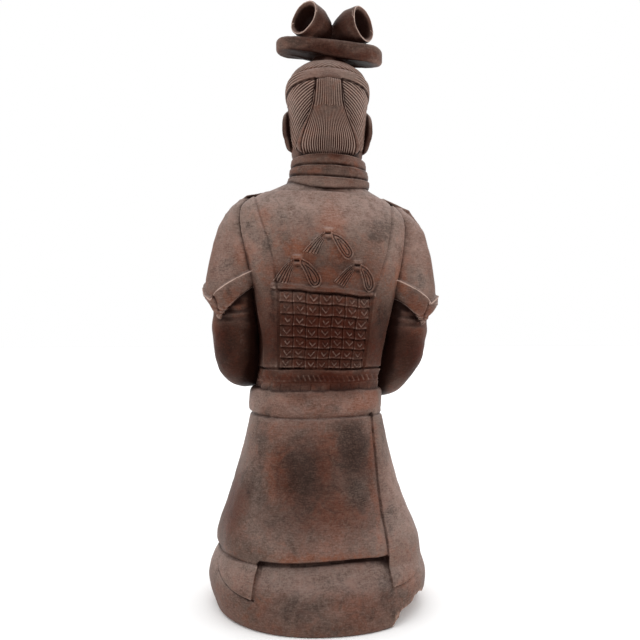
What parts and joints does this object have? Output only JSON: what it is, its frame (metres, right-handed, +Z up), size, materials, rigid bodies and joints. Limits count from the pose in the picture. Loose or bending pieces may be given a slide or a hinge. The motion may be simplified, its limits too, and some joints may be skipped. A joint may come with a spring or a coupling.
{
  "type": "warrior statue",
  "caption": "Standing figure of a warrior in fired clay, in robe, belt and plated vest, with folded hands and a flat cap with two rolls. It stands on the cut-off hem of its robe.",
  "frame": {"origin": "on the underside, on the axis of the robe at floor level", "axes": "+Z up to the cap, -Y is the way the figure faces, +X is the figure's left"},
  "size_m": [0.4769, 0.416, 1.183],
  "materials": {
    "fired_clay": "dry, dusty fired clay, red-brown with grey and blackish staining"
  },
  "bodies": {
    "root": {"warrior_figure": "fired_clay"}
  },
  "joints": []
}
